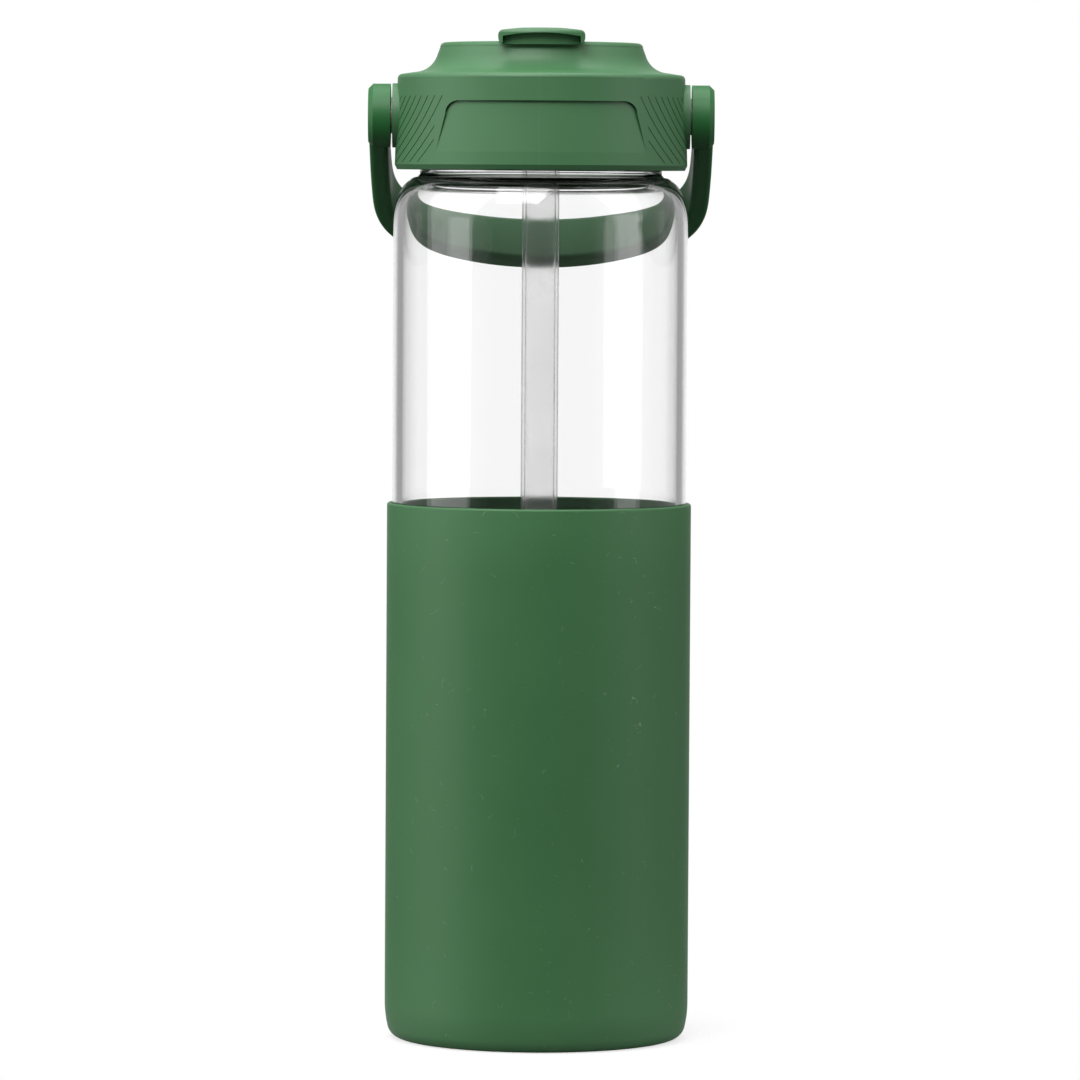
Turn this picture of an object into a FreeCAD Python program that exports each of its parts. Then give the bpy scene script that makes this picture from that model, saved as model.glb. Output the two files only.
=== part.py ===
import FreeCAD, Part
import math
import os

# Glass water bottle with a silicone sleeve and a screw lid that has a flip-up spout, a straw and a
# swinging carry handle. Millimetres. +Z up, origin at the centre of the flat base, front -Y, handle +Y.

V = FreeCAD.Vector
X_AXIS = V(1, 0, 0)
Y_AXIS = V(0, 1, 0)
Z_AXIS = V(0, 0, 1)

# Silicone sleeve
SLEEVE_R = 38.0
SLEEVE_TOP = 134.0
SLEEVE_FLOOR = 2.5
SLEEVE_GAP = 0.05
SLEEVE_BELLY_Z = 9.0
SLEEVE_BELLY_R = 27.0
SLEEVE_HEEL_R = 3.6
SLEEVE_RIM_R = 0.55
GRIP_RINGS = (12.0, 19.0, 26.0)
GRIP_RING_WIDTH = 1.4
GRIP_RING_DEPTH = 0.6

# Glass
GLASS_R = 36.75
GLASS_WALL = 2.4
GLASS_HEEL_R = 6.0
GLASS_FLOOR = 7.5
PUNT_R = 26.0
PUNT_RISE = 1.0
SHOULDER_Z = 203.8
SHOULDER_RISE = 11.6
SHOULDER_RUN = 6.25
SHOULDER_INNER_Z = 203.8
SHOULDER_INNER_RUN = 5.2
SHOULDER_INNER_RISE = 9.8
NECK_R = 30.25
NECK_BORE_R = 27.25
LIP_Z = 234.15
LIP_ROUND = 1.2

# Thread, right-handed, one start
THREAD_LEAD = 5.0
MALE_CREST_R = 31.5
MALE_START_Z = 221.5
MALE_TURN = (0.0, 450.0)
FEMALE_CREST_R = 30.65
FEMALE_DROP = 2.3
FEMALE_TURN = (150.0, 510.0)
THREAD_STEP = 15.0
THREAD_RUN_IN = 30.0

# Lid shell
LID_BOTTOM = 217.1
LID_CHAMFER_TOP = 218.3
LID_BOTTOM_R = 36.5
LID_TOP_R = 35.85
LID_TAPER_TOP = 239.5
LID_BORE_R = 34.2
LID_ROOF_UNDER = 238.4
DECK_TOP = 248.7
DECK_UNDER = 246.6
DOME_BORE_R = 22.5

# Grip panels, grip grooves
PANEL_TOP = 234.0
PANEL_BOTTOM = 221.4
PANEL_TOP_HALF = 23.6
PANEL_BOTTOM_HALF = 25.9
PANEL_CORNER = 3.2
PANEL_DEPTH = 0.7
GROOVE_COUNT = 11
GROOVE_PITCH = 2.2
GROOVE_WIDTH = 0.3
GROOVE_DEPTH = 0.14
GROOVE_SIDE_GAP = 1.5
GROOVE_FIRST_R = 41.0
GROOVE_CENTRE_Z = 252.3
GROOVE_PLANE_TURN = 62.0
GROOVE_CENTRE_T = 20.4
GROOVE_TOP = 235.2
GROOVE_BOTTOM = 218.9

# Handle pivots
PIVOT_Z = 230.5
BOSS_R = 8.0
BOSS_FACE = 37.1
BOSS_INNER = 33.3
SCREW_THREAD_R = 1.7
SCREW_SHOULDER_R = 2.5
SCREW_HEAD_R = 4.0
SCREW_HEAD_FROM = 40.0
SCREW_HEAD_TO = 41.6
WASHER_R = 4.5
WASHER_TO = 37.45
PIVOT_CLEARANCE = 0.05

# Carry handle
HANDLE_REST = 53.5
HANDLE_DISC_R = 7.9
HANDLE_DISC_FROM = 37.55
HANDLE_DISC_TO = 43.1
HANDLE_DISC_CHAMFER = 1.2
HANDLE_BAR = 4.7
HANDLE_WIDTH = 13.6
HANDLE_ROUND = 1.4
HANDLE_OUTLINE = ((43.0, 0.0), (42.8, 13.0), (42.5, 25.0), (41.5, 34.6), (37.9, 42.7), (30.4, 48.9),
                  (20.4, 52.9), (10.2, 55.2), (0.0, 55.9))
CAP_R = 5.5
CAP_FROM = 41.9
CAP_CHAMFER = 0.3

# Lid inside
LINER_R = 33.1
LINER_BORE_R = 31.9
LINER_BOTTOM = 218.3
PLATE_UNDER = 236.2
PLATE_TOP = 238.2
LINER_RIB_COUNT = 12
PLUG_R = 26.6
PLUG_BORE_R = 25.0
PLUG_BOTTOM = 228.0
GASKET_R = 31.0
GASKET_BORE_R = 27.0
CRADLE_R = 22.2
CRADLE_NECK_R = 7.7
CRADLE_NECK_BOTTOM = 229.0
CHANNEL_FLOOR = 240.2
CHANNEL_HALF = 7.5
CHANNEL_FRONT = -23.3
CHANNEL_BACK = 5.5
VENT_Y = 15.5

# Spout
SPOUT_Z = 244.0
BARREL_R = 4.7
BARREL_HALF = 7.2
TRUNNION_R = 2.0
TRUNNION_TO = 9.6
PASSAGE_R = 1.9
ARM_UNDER = 240.7
ARM_FRONT = -15.0
LIP_UNDER = 249.0
LIP_CROWN = 252.05
LIP_SIDE_Z = 251.45
LIP_ROUND_TOP = 1.3
LIP_HALF = 10.7
LIP_FRONT_R = 28.6
LIP_NOSE_R = 25.95
LIP_NOSE_Z = 247.9
LIP_CORNER = 1.6
SCOOP_R = 26.75
SCOOP_HALF = 9.6
SCOOP_END_Z = 249.9
SCOOP_CROWN_Z = 250.75
LIP_BACK = -5.0

# Straw
STRAW_R = 4.6
STRAW_BORE_R = 3.6
STRAW_BOTTOM = 9.5
STRAW_TOP = 234.9
PORT_R = 2.6

os.makedirs("parts", exist_ok=True)


def save(name, shape):
    """Writes one node after checking that it is made of sound closed solids."""
    clean = shape.removeSplitter()
    if not clean.isValid() or clean.Volume <= 0:
        clean = shape
    assert clean.isValid() and len(clean.Solids) == 1, name
    clean.exportStep("parts/" + name + ".step")


def in_plane(pair):
    return V(pair[0], 0, pair[1])


def lathe(start, steps):
    """Turned solid about Z. A step is a point, an arc (middle, end) or a list of points on a smooth curve."""
    edges = []
    here = start
    for step in steps:
        if isinstance(step, list):
            curve = Part.BSplineCurve()
            curve.interpolate([in_plane(p) for p in [here] + step])
            edges.append(curve.toShape())
            here = step[-1]
        elif isinstance(step[0], tuple):
            edges.append(Part.Arc(in_plane(here), in_plane(step[0]), in_plane(step[1])).toShape())
            here = step[1]
        else:
            edges.append(Part.makeLine(in_plane(here), in_plane(step)))
            here = step
    edges.append(Part.makeLine(in_plane(here), in_plane(start)))
    return Part.Face(Part.Wire(edges)).revolve(V(0, 0, 0), Z_AXIS, 360)


def bend(centre, radius, angle_from, angle_to):
    """The middle and end points of an arc about a centre, for lathe()."""
    found = []
    for angle in ((angle_from + angle_to) / 2, angle_to):
        a = math.radians(angle)
        found.append((centre[0] + radius * math.cos(a), centre[1] + radius * math.sin(a)))
    return tuple(found)


def rounded(x, z, radius, angle):
    """A point on a circle about (x, z)."""
    a = math.radians(angle)
    return (x + radius * math.cos(a), z + radius * math.sin(a))


def oval(centre, run, rise, share_from, share_to, count):
    """Points along a quarter ellipse, for lathe(). A share of 0 is level with the centre, 1 is its top."""
    found = []
    for i in range(1, count + 1):
        a = math.radians(90 * (share_from + (share_to - share_from) * i / count))
        found.append((centre[0] + run * math.cos(a), centre[1] + rise * math.sin(a)))
    return found


def post(radius, z_from, z_to, x=0.0, y=0.0):
    return Part.makeCylinder(radius, z_to - z_from, V(x, y, z_from), Z_AXIS)


def tube(radius, bore, z_from, z_to):
    return post(radius, z_from, z_to).cut(post(bore, z_from - 1, z_to + 1))


def block(x_from, x_to, y_from, y_to, z_from, z_to):
    return Part.makeBox(x_to - x_from, y_to - y_from, z_to - z_from, V(x_from, y_from, z_from))


def across(radius, side, x_from, x_to, z):
    """A cylinder along X on the plane y = 0, on the side that `side` (1 or -1) gives."""
    return Part.makeCylinder(radius, x_to - x_from, V(side * x_from, 0, z), V(side, 0, 0))


def along_y(radius, y_from, y_to, z):
    return Part.makeCylinder(radius, y_to - y_from, V(0, y_from, z), Y_AXIS)


def mirrored(shape, axis):
    return shape.mirror(V(0, 0, 0), axis)


def thread_ridge(root, crest, half_root, half_crest, z_start, turn):
    """A helical ridge with ends that fade out. It is sunk 0.4 mm into the wall that carries it."""
    sink = 0.4 if root > crest else -0.4
    sections = []
    count = int(round((turn[1] - turn[0]) / THREAD_STEP))
    for i in range(count + 1):
        angle = turn[0] + i * THREAD_STEP
        near_end = min(angle - turn[0], turn[1] - angle) / THREAD_RUN_IN
        share = 0.1 + 0.9 * min(1.0, near_end)
        z = z_start + THREAD_LEAD * angle / 360
        top = root + (crest - root) * share
        corners = []
        low_root = root + sink
        for r, dz in ((low_root, -half_root), (top, -half_crest), (top, half_crest), (low_root, half_root)):
            a = math.radians(angle)
            corners.append(V(r * math.cos(a), r * math.sin(a), z + dz))
        sections.append(Part.makePolygon(corners + [corners[0]]))
    return Part.makeLoft(sections, True, False)


# ---------------------------------------------------------------- bottle
def silicone_sleeve():
    slope = math.degrees(math.asin((SLEEVE_BELLY_Z - SLEEVE_HEEL_R) / (SLEEVE_BELLY_R - SLEEVE_HEEL_R)))
    belly = (SLEEVE_R - SLEEVE_BELLY_R, SLEEVE_BELLY_Z)
    heel_r = belly[0] + (SLEEVE_BELLY_R - SLEEVE_HEEL_R) * math.cos(math.radians(slope))
    bore = GLASS_R + SLEEVE_GAP
    inner_heel = (bore - GLASS_HEEL_R, SLEEVE_FLOOR + GLASS_HEEL_R)
    rim_z = SLEEVE_TOP - SLEEVE_RIM_R
    steps = [(heel_r, 0.0)]
    steps.append(bend((heel_r, SLEEVE_HEEL_R), SLEEVE_HEEL_R, -90, -slope))
    steps.append(bend(belly, SLEEVE_BELLY_R, -slope, 0))
    steps.append((SLEEVE_R, rim_z))
    steps.append(bend((SLEEVE_R - SLEEVE_RIM_R, rim_z), SLEEVE_RIM_R, 0, 90))
    steps.append((bore + SLEEVE_RIM_R, SLEEVE_TOP))
    steps.append(bend((bore + SLEEVE_RIM_R, rim_z), SLEEVE_RIM_R, 90, 180))
    steps.append((bore, inner_heel[1]))
    steps.append(bend(inner_heel, GLASS_HEEL_R, 0, -90))
    steps.append((0.0, SLEEVE_FLOOR))
    sleeve = lathe((0.0, 0.0), steps)
    for r in GRIP_RINGS:
        sleeve = sleeve.cut(tube(r + GRIP_RING_WIDTH, r, -1, GRIP_RING_DEPTH))
    return sleeve


def glass_bottle():
    bore = GLASS_R - GLASS_WALL
    heel = (GLASS_R - GLASS_HEEL_R, SLEEVE_FLOOR + GLASS_HEEL_R)
    inner_heel = (bore - GLASS_HEEL_R, GLASS_FLOOR + GLASS_HEEL_R)
    shoulder = (GLASS_R - SHOULDER_RUN, SHOULDER_Z)
    inner_shoulder = (bore - SHOULDER_INNER_RUN, SHOULDER_INNER_Z)
    lip_z = LIP_Z - LIP_ROUND
    steps = [((PUNT_R / 2, SLEEVE_FLOOR + PUNT_RISE * 0.78), (PUNT_R, SLEEVE_FLOOR))]
    steps.append((heel[0], SLEEVE_FLOOR))
    steps.append(bend(heel, GLASS_HEEL_R, -90, 0))
    steps.append((GLASS_R, SHOULDER_Z))
    steps.append(oval(shoulder, SHOULDER_RUN, SHOULDER_RISE, 0, 0.9, 8))
    neck_foot = steps[-1][-1][1] + 0.95
    steps.append(((NECK_R + 0.28, neck_foot - 0.62), (NECK_R, neck_foot)))
    steps.append((NECK_R, lip_z))
    steps.append(bend((NECK_R - LIP_ROUND, lip_z), LIP_ROUND, 0, 90))
    steps.append((NECK_BORE_R + LIP_ROUND, LIP_Z))
    steps.append(bend((NECK_BORE_R + LIP_ROUND, lip_z), LIP_ROUND, 90, 180))
    top = SHOULDER_INNER_Z + SHOULDER_INNER_RISE
    steps.append((NECK_BORE_R, top + 1.1))
    inner = oval(inner_shoulder, SHOULDER_INNER_RUN, SHOULDER_INNER_RISE, 0, 0.88, 8)
    turn_in = (inner[-1][0] + NECK_BORE_R) / 2
    steps.append(((turn_in - 0.1, top + 0.3), inner[-1]))
    steps.append(inner[-2::-1] + [(bore, SHOULDER_INNER_Z)])
    steps.append((bore, inner_heel[1]))
    steps.append(bend(inner_heel, GLASS_HEEL_R, 0, -90))
    steps.append((0.0, GLASS_FLOOR))
    body = lathe((0.0, SLEEVE_FLOOR + PUNT_RISE), steps)
    return body.fuse(thread_ridge(NECK_R, MALE_CREST_R, 1.6, 0.6, MALE_START_Z, MALE_TURN))


# ---------------------------------------------------------------- lid
def grip_panel():
    """What is cut from the front of the lid shell: deepest along its top edge, fading out at the bottom."""
    top = PANEL_TOP
    half = PANEL_TOP_HALF
    middle = PANEL_CORNER * (1 - math.sqrt(0.5))
    pieces = []
    foot = PANEL_BOTTOM_HALF
    points = ((-foot, PANEL_BOTTOM), (foot, PANEL_BOTTOM), (half, top - PANEL_CORNER))
    corners = [V(x, -40, z) for x, z in points]
    pieces.append(Part.makeLine(corners[0], corners[1]))
    pieces.append(Part.makeLine(corners[1], corners[2]))
    right = (V(half - middle, -40, top - middle), V(half - PANEL_CORNER, -40, top))
    pieces.append(Part.Arc(corners[2], right[0], right[1]).toShape())
    left = (V(PANEL_CORNER - half, -40, top), V(middle - half, -40, top - middle))
    pieces.append(Part.makeLine(right[1], left[0]))
    last = V(-half, -40, top - PANEL_CORNER)
    pieces.append(Part.Arc(left[0], left[1], last).toShape())
    pieces.append(Part.makeLine(last, corners[0]))
    window = Part.Face(Part.Wire(pieces)).extrude(V(0, 20, 0))
    high = lid_radius(PANEL_TOP) - PANEL_DEPTH
    centre = V(0, 0, PANEL_BOTTOM)
    core = Part.makeCone(lid_radius(PANEL_BOTTOM), high, PANEL_TOP - PANEL_BOTTOM, centre, Z_AXIS)
    return window.cut(core)


def lid_radius(z):
    share = (z - LID_CHAMFER_TOP) / (LID_TAPER_TOP - LID_CHAMFER_TOP)
    return LID_BOTTOM_R + (LID_TOP_R - LID_BOTTOM_R) * share


def grip_grooves():
    """Fine concentric arcs beside the front grip panel, on the +X side, as thin curved strips."""
    turn = math.radians(GROOVE_PLANE_TURN)
    outward = V(math.sin(turn), -math.cos(turn), 0)
    sideways = V(math.cos(turn), math.sin(turn), 0)
    height = GROOVE_TOP - GROOVE_BOTTOM
    skin_r = (lid_radius(GROOVE_BOTTOM), lid_radius(GROOVE_TOP))
    low = V(0, 0, GROOVE_BOTTOM)
    skin = Part.makeCone(skin_r[0] + 1, skin_r[1] + 1, height, low, Z_AXIS)
    skin = skin.cut(Part.makeCone(skin_r[0] - GROOVE_DEPTH, skin_r[1] - GROOVE_DEPTH, height, low, Z_AXIS))
    centre = outward * 20 + sideways * GROOVE_CENTRE_T + V(0, 0, GROOVE_CENTRE_Z)
    strips = []
    for i in range(GROOVE_COUNT):
        radius = GROOVE_FIRST_R - GROOVE_PITCH * i
        strip = Part.makeCylinder(radius + GROOVE_WIDTH / 2, 20, centre, outward)
        strip = strip.cut(Part.makeCylinder(radius - GROOVE_WIDTH / 2, 22, centre - outward, outward))
        start = -9.6 if i < 2 else -13.5
        keep = Part.makeBox(45, 24, 40, V(start, -2, GROOVE_BOTTOM - 1))
        keep.Placement = FreeCAD.Placement(V(0, 0, 0), FreeCAD.Rotation(Z_AXIS, GROOVE_PLANE_TURN)).multiply(
            FreeCAD.Placement(V(0, -44, 0), FreeCAD.Rotation()))
        strips.append(strip.common(keep).common(skin))
    front_half = block(0, 45, -45, -GROOVE_SIDE_GAP, GROOVE_BOTTOM - 1, GROOVE_TOP + 1)
    return Part.makeCompound([strip.common(front_half) for strip in strips])


def lid_shell():
    steps = [(LID_BOTTOM_R - 0.6, LID_BOTTOM), (LID_BOTTOM_R, LID_CHAMFER_TOP), (LID_TOP_R, LID_TAPER_TOP)]
    steps.append(((35.55, 240.45), (34.7, 240.85)))
    steps.append((30.6, 241.45))
    steps.append(((27.6, 243.0), (26.1, 245.3)))
    steps.append((25.3, 247.5))
    steps.append(((24.93, 248.38), (24.1, DECK_TOP)))
    steps.append((0.0, DECK_TOP))
    steps.append((0.0, DECK_UNDER))
    steps.append((DOME_BORE_R, DECK_UNDER))
    steps.append((DOME_BORE_R, LID_ROOF_UNDER))
    steps.append((LID_BORE_R, LID_ROOF_UNDER))
    shell = lathe((LID_BORE_R, LID_BOTTOM), steps)
    panel = grip_panel()
    grooves = grip_grooves()
    for shape in (panel, mirrored(panel, Y_AXIS)):
        shell = shell.cut(shape)
    for flip_x in (False, True):
        for flip_y in (False, True):
            group = mirrored(grooves, X_AXIS) if flip_x else grooves
            group = mirrored(group, Y_AXIS) if flip_y else group
            shell = shell.cut(group)
    for side in (1, -1):
        boss = across(BOSS_R, side, BOSS_INNER, BOSS_FACE, PIVOT_Z)
        shell = shell.fuse(boss.cut(post(LID_BORE_R, 217, 240)))
        shell = shell.fuse(across(BOSS_R / 2, side, BOSS_INNER, BOSS_FACE, PIVOT_Z))
        shell = shell.cut(across(SCREW_THREAD_R + 0.02, side, BOSS_INNER - 1, BOSS_FACE + 1, PIVOT_Z))
    width = CHANNEL_HALF
    return shell.cut(block(-width, width, CHANNEL_FRONT, CHANNEL_BACK, CHANNEL_FLOOR, DECK_TOP + 1))


def threaded_liner():
    liner = tube(LINER_R, LINER_BORE_R, LINER_BOTTOM, PLATE_TOP)
    liner = liner.fuse(post(LINER_R, PLATE_UNDER, PLATE_TOP))
    liner = liner.fuse(tube(PLUG_R, PLUG_BORE_R, PLUG_BOTTOM, PLATE_TOP))
    for i in range(LINER_RIB_COUNT):
        rib = block(LINER_R - 0.5, LID_BORE_R - 0.05, -0.75, 0.75, LINER_BOTTOM + 0.7, PLATE_TOP)
        rib.rotate(V(0, 0, 0), Z_AXIS, (i + 0.5) * 360 / LINER_RIB_COUNT)
        liner = liner.fuse(rib)
    start = MALE_START_Z - FEMALE_DROP
    liner = liner.fuse(thread_ridge(LINER_BORE_R, FEMALE_CREST_R, 1.2, 0.45, start, FEMALE_TURN))
    liner = liner.cut(post(CRADLE_NECK_R + 0.1, PLATE_UNDER - 1, PLATE_TOP + 1))
    liner = liner.cut(post(9.0, PLATE_TOP - 1.25, PLATE_TOP + 1))
    return liner.cut(post(1.65, PLATE_UNDER - 1, PLATE_TOP + 1, 0, VENT_Y))


def spout_cradle():
    cradle = post(CRADLE_R, PLATE_TOP + 0.05, CHANNEL_FLOOR)
    walls = block(-11, 11, -25, 10, PLATE_TOP + 0.5, DECK_UNDER - 0.1).common(post(CRADLE_R, 230, 250))
    cradle = cradle.fuse(walls).fuse(post(CRADLE_NECK_R, CRADLE_NECK_BOTTOM, PLATE_TOP + 1))
    cradle = cradle.cut(block(-CHANNEL_HALF, CHANNEL_HALF, -30, CHANNEL_BACK, CHANNEL_FLOOR, 250))
    cradle = cradle.cut(across(BARREL_R + PIVOT_CLEARANCE, 1, -CHANNEL_HALF, CHANNEL_HALF, SPOUT_Z))
    cradle = cradle.cut(post(4.25, 237.0, 242))
    cradle = cradle.cut(post(PORT_R, 228, 240))
    cradle = cradle.cut(post(6.0, CRADLE_NECK_BOTTOM - 1, 236.0))
    cradle = cradle.cut(post(3.2, 230, 245, 0, VENT_Y))
    for side in (1, -1):
        socket_r = TRUNNION_R + PIVOT_CLEARANCE
        cradle = cradle.cut(across(socket_r, side, CHANNEL_HALF - 1, TRUNNION_TO + 0.3, SPOUT_Z))
    return cradle


def port_seal():
    seal = tube(4.2, PORT_R, 237.05, CHANNEL_FLOOR + 0.2)
    return seal.cut(across(BARREL_R + PIVOT_CLEARANCE, 1, -9, 9, SPOUT_Z))


def straw_socket():
    socket = tube(5.95, STRAW_R + 0.02, 225.0, 235.9)
    socket = socket.fuse(tube(7.4, STRAW_R + 0.02, 227.6, CRADLE_NECK_BOTTOM - 0.05))
    return socket.fuse(tube(5.95, PORT_R + 0.3, STRAW_TOP + 0.05, 235.9))


def drinking_straw():
    straw = tube(STRAW_R, STRAW_BORE_R, STRAW_BOTTOM, STRAW_TOP)
    notch = Part.makePolygon([V(-9, -2, 0), V(9, -2, 0), V(9, -2, 13.5), V(-9, -2, 13.5), V(-9, -2, 0)])
    slant = Part.Face(notch).extrude(V(0, 14, 0))
    slant.rotate(V(0, -2, STRAW_BOTTOM), X_AXIS, 30)
    return straw.cut(slant.common(block(-9, 9, -2, 9, 0, 13)))


def vent_valve():
    valve = post(4.0, 235.25, PLATE_UNDER - 0.05, 0, VENT_Y)
    valve = valve.fuse(post(1.6, 235.5, 240.5, 0, VENT_Y))
    valve = valve.fuse(Part.makeCone(2.4, 1.2, 1.8, V(0, VENT_Y, PLATE_TOP + 0.1), Z_AXIS))
    return valve


def cradle_o_ring():
    return Part.makeTorus(8.35, 0.6, V(0, 0, PLATE_TOP - 0.6), Z_AXIS)


def neck_gasket():
    return tube(GASKET_R, GASKET_BORE_R, LIP_Z + 0.05, PLATE_UNDER - 0.05)


def pivot_screw(side):
    screw = across(SCREW_THREAD_R, side, BOSS_INNER + 0.3, BOSS_FACE + 0.5, PIVOT_Z)
    screw = screw.fuse(across(SCREW_SHOULDER_R, side, BOSS_FACE, SCREW_HEAD_FROM + 0.2, PIVOT_Z))
    head = across(SCREW_HEAD_R, side, SCREW_HEAD_FROM, SCREW_HEAD_TO, PIVOT_Z)
    slot = block(-20, 20, -0.5, 0.5, PIVOT_Z - 3, PIVOT_Z + 3)
    cross = slot.fuse(block(-20, 20, -3, 3, PIVOT_Z - 0.5, PIVOT_Z + 0.5))
    cross.translate(V(side * (SCREW_HEAD_TO + 19), 0, 0))
    return screw.fuse(head.cut(cross))


def pivot_washer(side):
    washer = across(WASHER_R, side, BOSS_FACE, WASHER_TO, PIVOT_Z)
    return washer.cut(across(SCREW_SHOULDER_R + 0.03, side, BOSS_FACE - 1, WASHER_TO + 1, PIVOT_Z))


# ---------------------------------------------------------------- handle
def handle_edge(inset):
    """The bail's outline as one smooth curve, moved inwards by inset, in the plane y = 0."""
    half = [(x, PIVOT_Z - drop) for x, drop in HANDLE_OUTLINE]
    outline = half + [(-x, z) for x, z in reversed(half[:-1])]
    curve = Part.BSplineCurve()
    curve.interpolate([in_plane(p) for p in outline])
    if inset == 0:
        return curve
    moved = []
    count = 40
    for i in range(count + 1):
        at = curve.FirstParameter + (curve.LastParameter - curve.FirstParameter) * i / count
        along = curve.tangent(at)[0]
        inwards = V(0, 1, 0).cross(along)
        moved.append(curve.value(at) + inwards * inset)
    inner = Part.BSplineCurve()
    inner.interpolate(moved)
    return inner


def hung(shape):
    """Swings a shape from straight down to where the handle rests, against the back of the glass."""
    turned = shape.copy()
    turned.rotate(V(0, 0, PIVOT_Z), X_AXIS, HANDLE_REST)
    return turned


def carry_handle():
    outer = handle_edge(0)
    inner = handle_edge(HANDLE_BAR)
    if inner.value(inner.FirstParameter).x > outer.value(outer.FirstParameter).x:
        inner = handle_edge(-HANDLE_BAR)
    ends = []
    for at in ("FirstParameter", "LastParameter"):
        ends.append(Part.makeLine(outer.value(getattr(outer, at)), inner.value(getattr(inner, at))))
    wire = Part.Wire(Part.__sortEdges__([outer.toShape(), ends[1], inner.toShape(), ends[0]]))
    bail = Part.Face(wire).extrude(V(0, HANDLE_WIDTH, 0))
    bail.translate(V(0, -HANDLE_WIDTH / 2, 0))
    long_edges = [e for e in bail.Edges if e.Length > 100]
    bail = bail.makeFillet(HANDLE_ROUND, long_edges)
    for side in (1, -1):
        disc = across(HANDLE_DISC_R, side, HANDLE_DISC_FROM, HANDLE_DISC_TO, PIVOT_Z)
        rims = [e for e in disc.Edges if abs(abs(e.CenterOfMass.x) - HANDLE_DISC_TO) < 0.01]
        bail = bail.fuse(disc.makeChamfer(HANDLE_DISC_CHAMFER, rims))
    for side in (1, -1):
        bail = bail.cut(across(SCREW_SHOULDER_R + PIVOT_CLEARANCE, side, 36, 44, PIVOT_Z))
        bail = bail.cut(across(SCREW_HEAD_R + 0.3, side, SCREW_HEAD_FROM - 0.1, 44, PIVOT_Z))
        bail = bail.cut(across(CAP_R, side, CAP_FROM, 44, PIVOT_Z))
    return hung(bail)


def pivot_cap(side):
    cap = across(CAP_R - 0.02, side, CAP_FROM, HANDLE_DISC_TO, PIVOT_Z)
    rims = [e for e in cap.Edges if abs(abs(e.CenterOfMass.x) - HANDLE_DISC_TO) < 0.01]
    return hung(cap.makeChamfer(CAP_CHAMFER, rims))


# ---------------------------------------------------------------- spout
def finger_lip():
    """The spout's crowned plate. Its front droops over the deck's edge and has a scoop for a fingertip."""
    low = LIP_NOSE_Z
    side = LIP_SIDE_Z
    edge = LIP_HALF
    shoulder = edge - LIP_ROUND_TOP
    corner = edge - LIP_CORNER
    corner_z = low + LIP_CORNER
    shoulder_z = side - LIP_ROUND_TOP
    outline = [[(edge, corner_z), (edge, shoulder_z)]]
    outline.append([(corner, low), rounded(corner, corner_z, LIP_CORNER, -45), (edge, corner_z)])
    outline.append([(edge, shoulder_z), rounded(shoulder, shoulder_z, LIP_ROUND_TOP, 45), (shoulder, side)])
    edges = []
    for run in outline:
        for sign in (1, -1):
            ends = [V(sign * x, 0, z) for x, z in run]
            edges.append(Part.Arc(*ends).toShape() if len(ends) == 3 else Part.makeLine(ends[0], ends[1]))
    edges.append(Part.Arc(V(-shoulder, 0, side), V(0, 0, LIP_CROWN), V(shoulder, 0, side)).toShape())
    edges.append(Part.makeLine(V(-corner, 0, low), V(corner, 0, low)))
    lip = Part.Face(Part.Wire(Part.__sortEdges__(edges))).extrude(V(0, -31, 0))
    front = [(LIP_FRONT_R - 0.3, low), (LIP_FRONT_R, low + 0.3), (LIP_FRONT_R, side - 0.7)]
    front.append(((LIP_FRONT_R - 0.35, side + 0.05), (LIP_FRONT_R - 1.2, side + 0.45)))
    front.append((0.0, side + 1.5))
    lip = lip.common(lathe((0.0, low), front))
    half = BARREL_HALF + 0.4
    wide = edge + 1
    corners = ((-half, LIP_BACK), (-wide, -19), (-wide, -35), (wide, -35), (wide, -19), (half, LIP_BACK))
    plan = Part.makePolygon([V(x, y, 240) for x, y in corners + corners[:1]])
    lip = lip.common(Part.Face(plan).extrude(V(0, 0, 20)))
    ends = (V(-SCOOP_HALF, -34, SCOOP_END_Z), V(0, -34, SCOOP_CROWN_Z), V(SCOOP_HALF, -34, SCOOP_END_Z))
    below = V(0, 0, low - 2 - SCOOP_END_Z)
    frame = [Part.Arc(*ends).toShape(), Part.makeLine(ends[2], ends[2] + below)]
    frame += [Part.makeLine(ends[2] + below, ends[0] + below), Part.makeLine(ends[0] + below, ends[0])]
    scoop = Part.Face(Part.Wire(frame)).extrude(V(0, 14, 0))
    lip = lip.cut(scoop.cut(post(SCOOP_R, 240, 255)))
    return lip.cut(post(LIP_NOSE_R, 240, LIP_UNDER))


def flip_spout():
    arm = block(-BARREL_HALF, BARREL_HALF, ARM_FRONT, -2, ARM_UNDER, LIP_UNDER + 0.2)
    spout = finger_lip().fuse(arm).fuse(across(BARREL_R, 1, -BARREL_HALF, BARREL_HALF, SPOUT_Z))
    spout = spout.fuse(across(TRUNNION_R, 1, -TRUNNION_TO, TRUNNION_TO, SPOUT_Z))
    spout = spout.fuse(along_y(2.7, -21, ARM_FRONT + 1, SPOUT_Z))
    return spout.cut(along_y(PASSAGE_R, -30, 6, SPOUT_Z).common(block(-5, 5, -22, 6, 235, 248)))


def spout_mouthpiece():
    soft = along_y(3.4, -22.6, ARM_FRONT - 0.05, SPOUT_Z)
    soft = soft.cut(along_y(2.75, -21.05, ARM_FRONT + 1, SPOUT_Z))
    return soft.cut(along_y(PASSAGE_R, -24, -20, SPOUT_Z))


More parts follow.
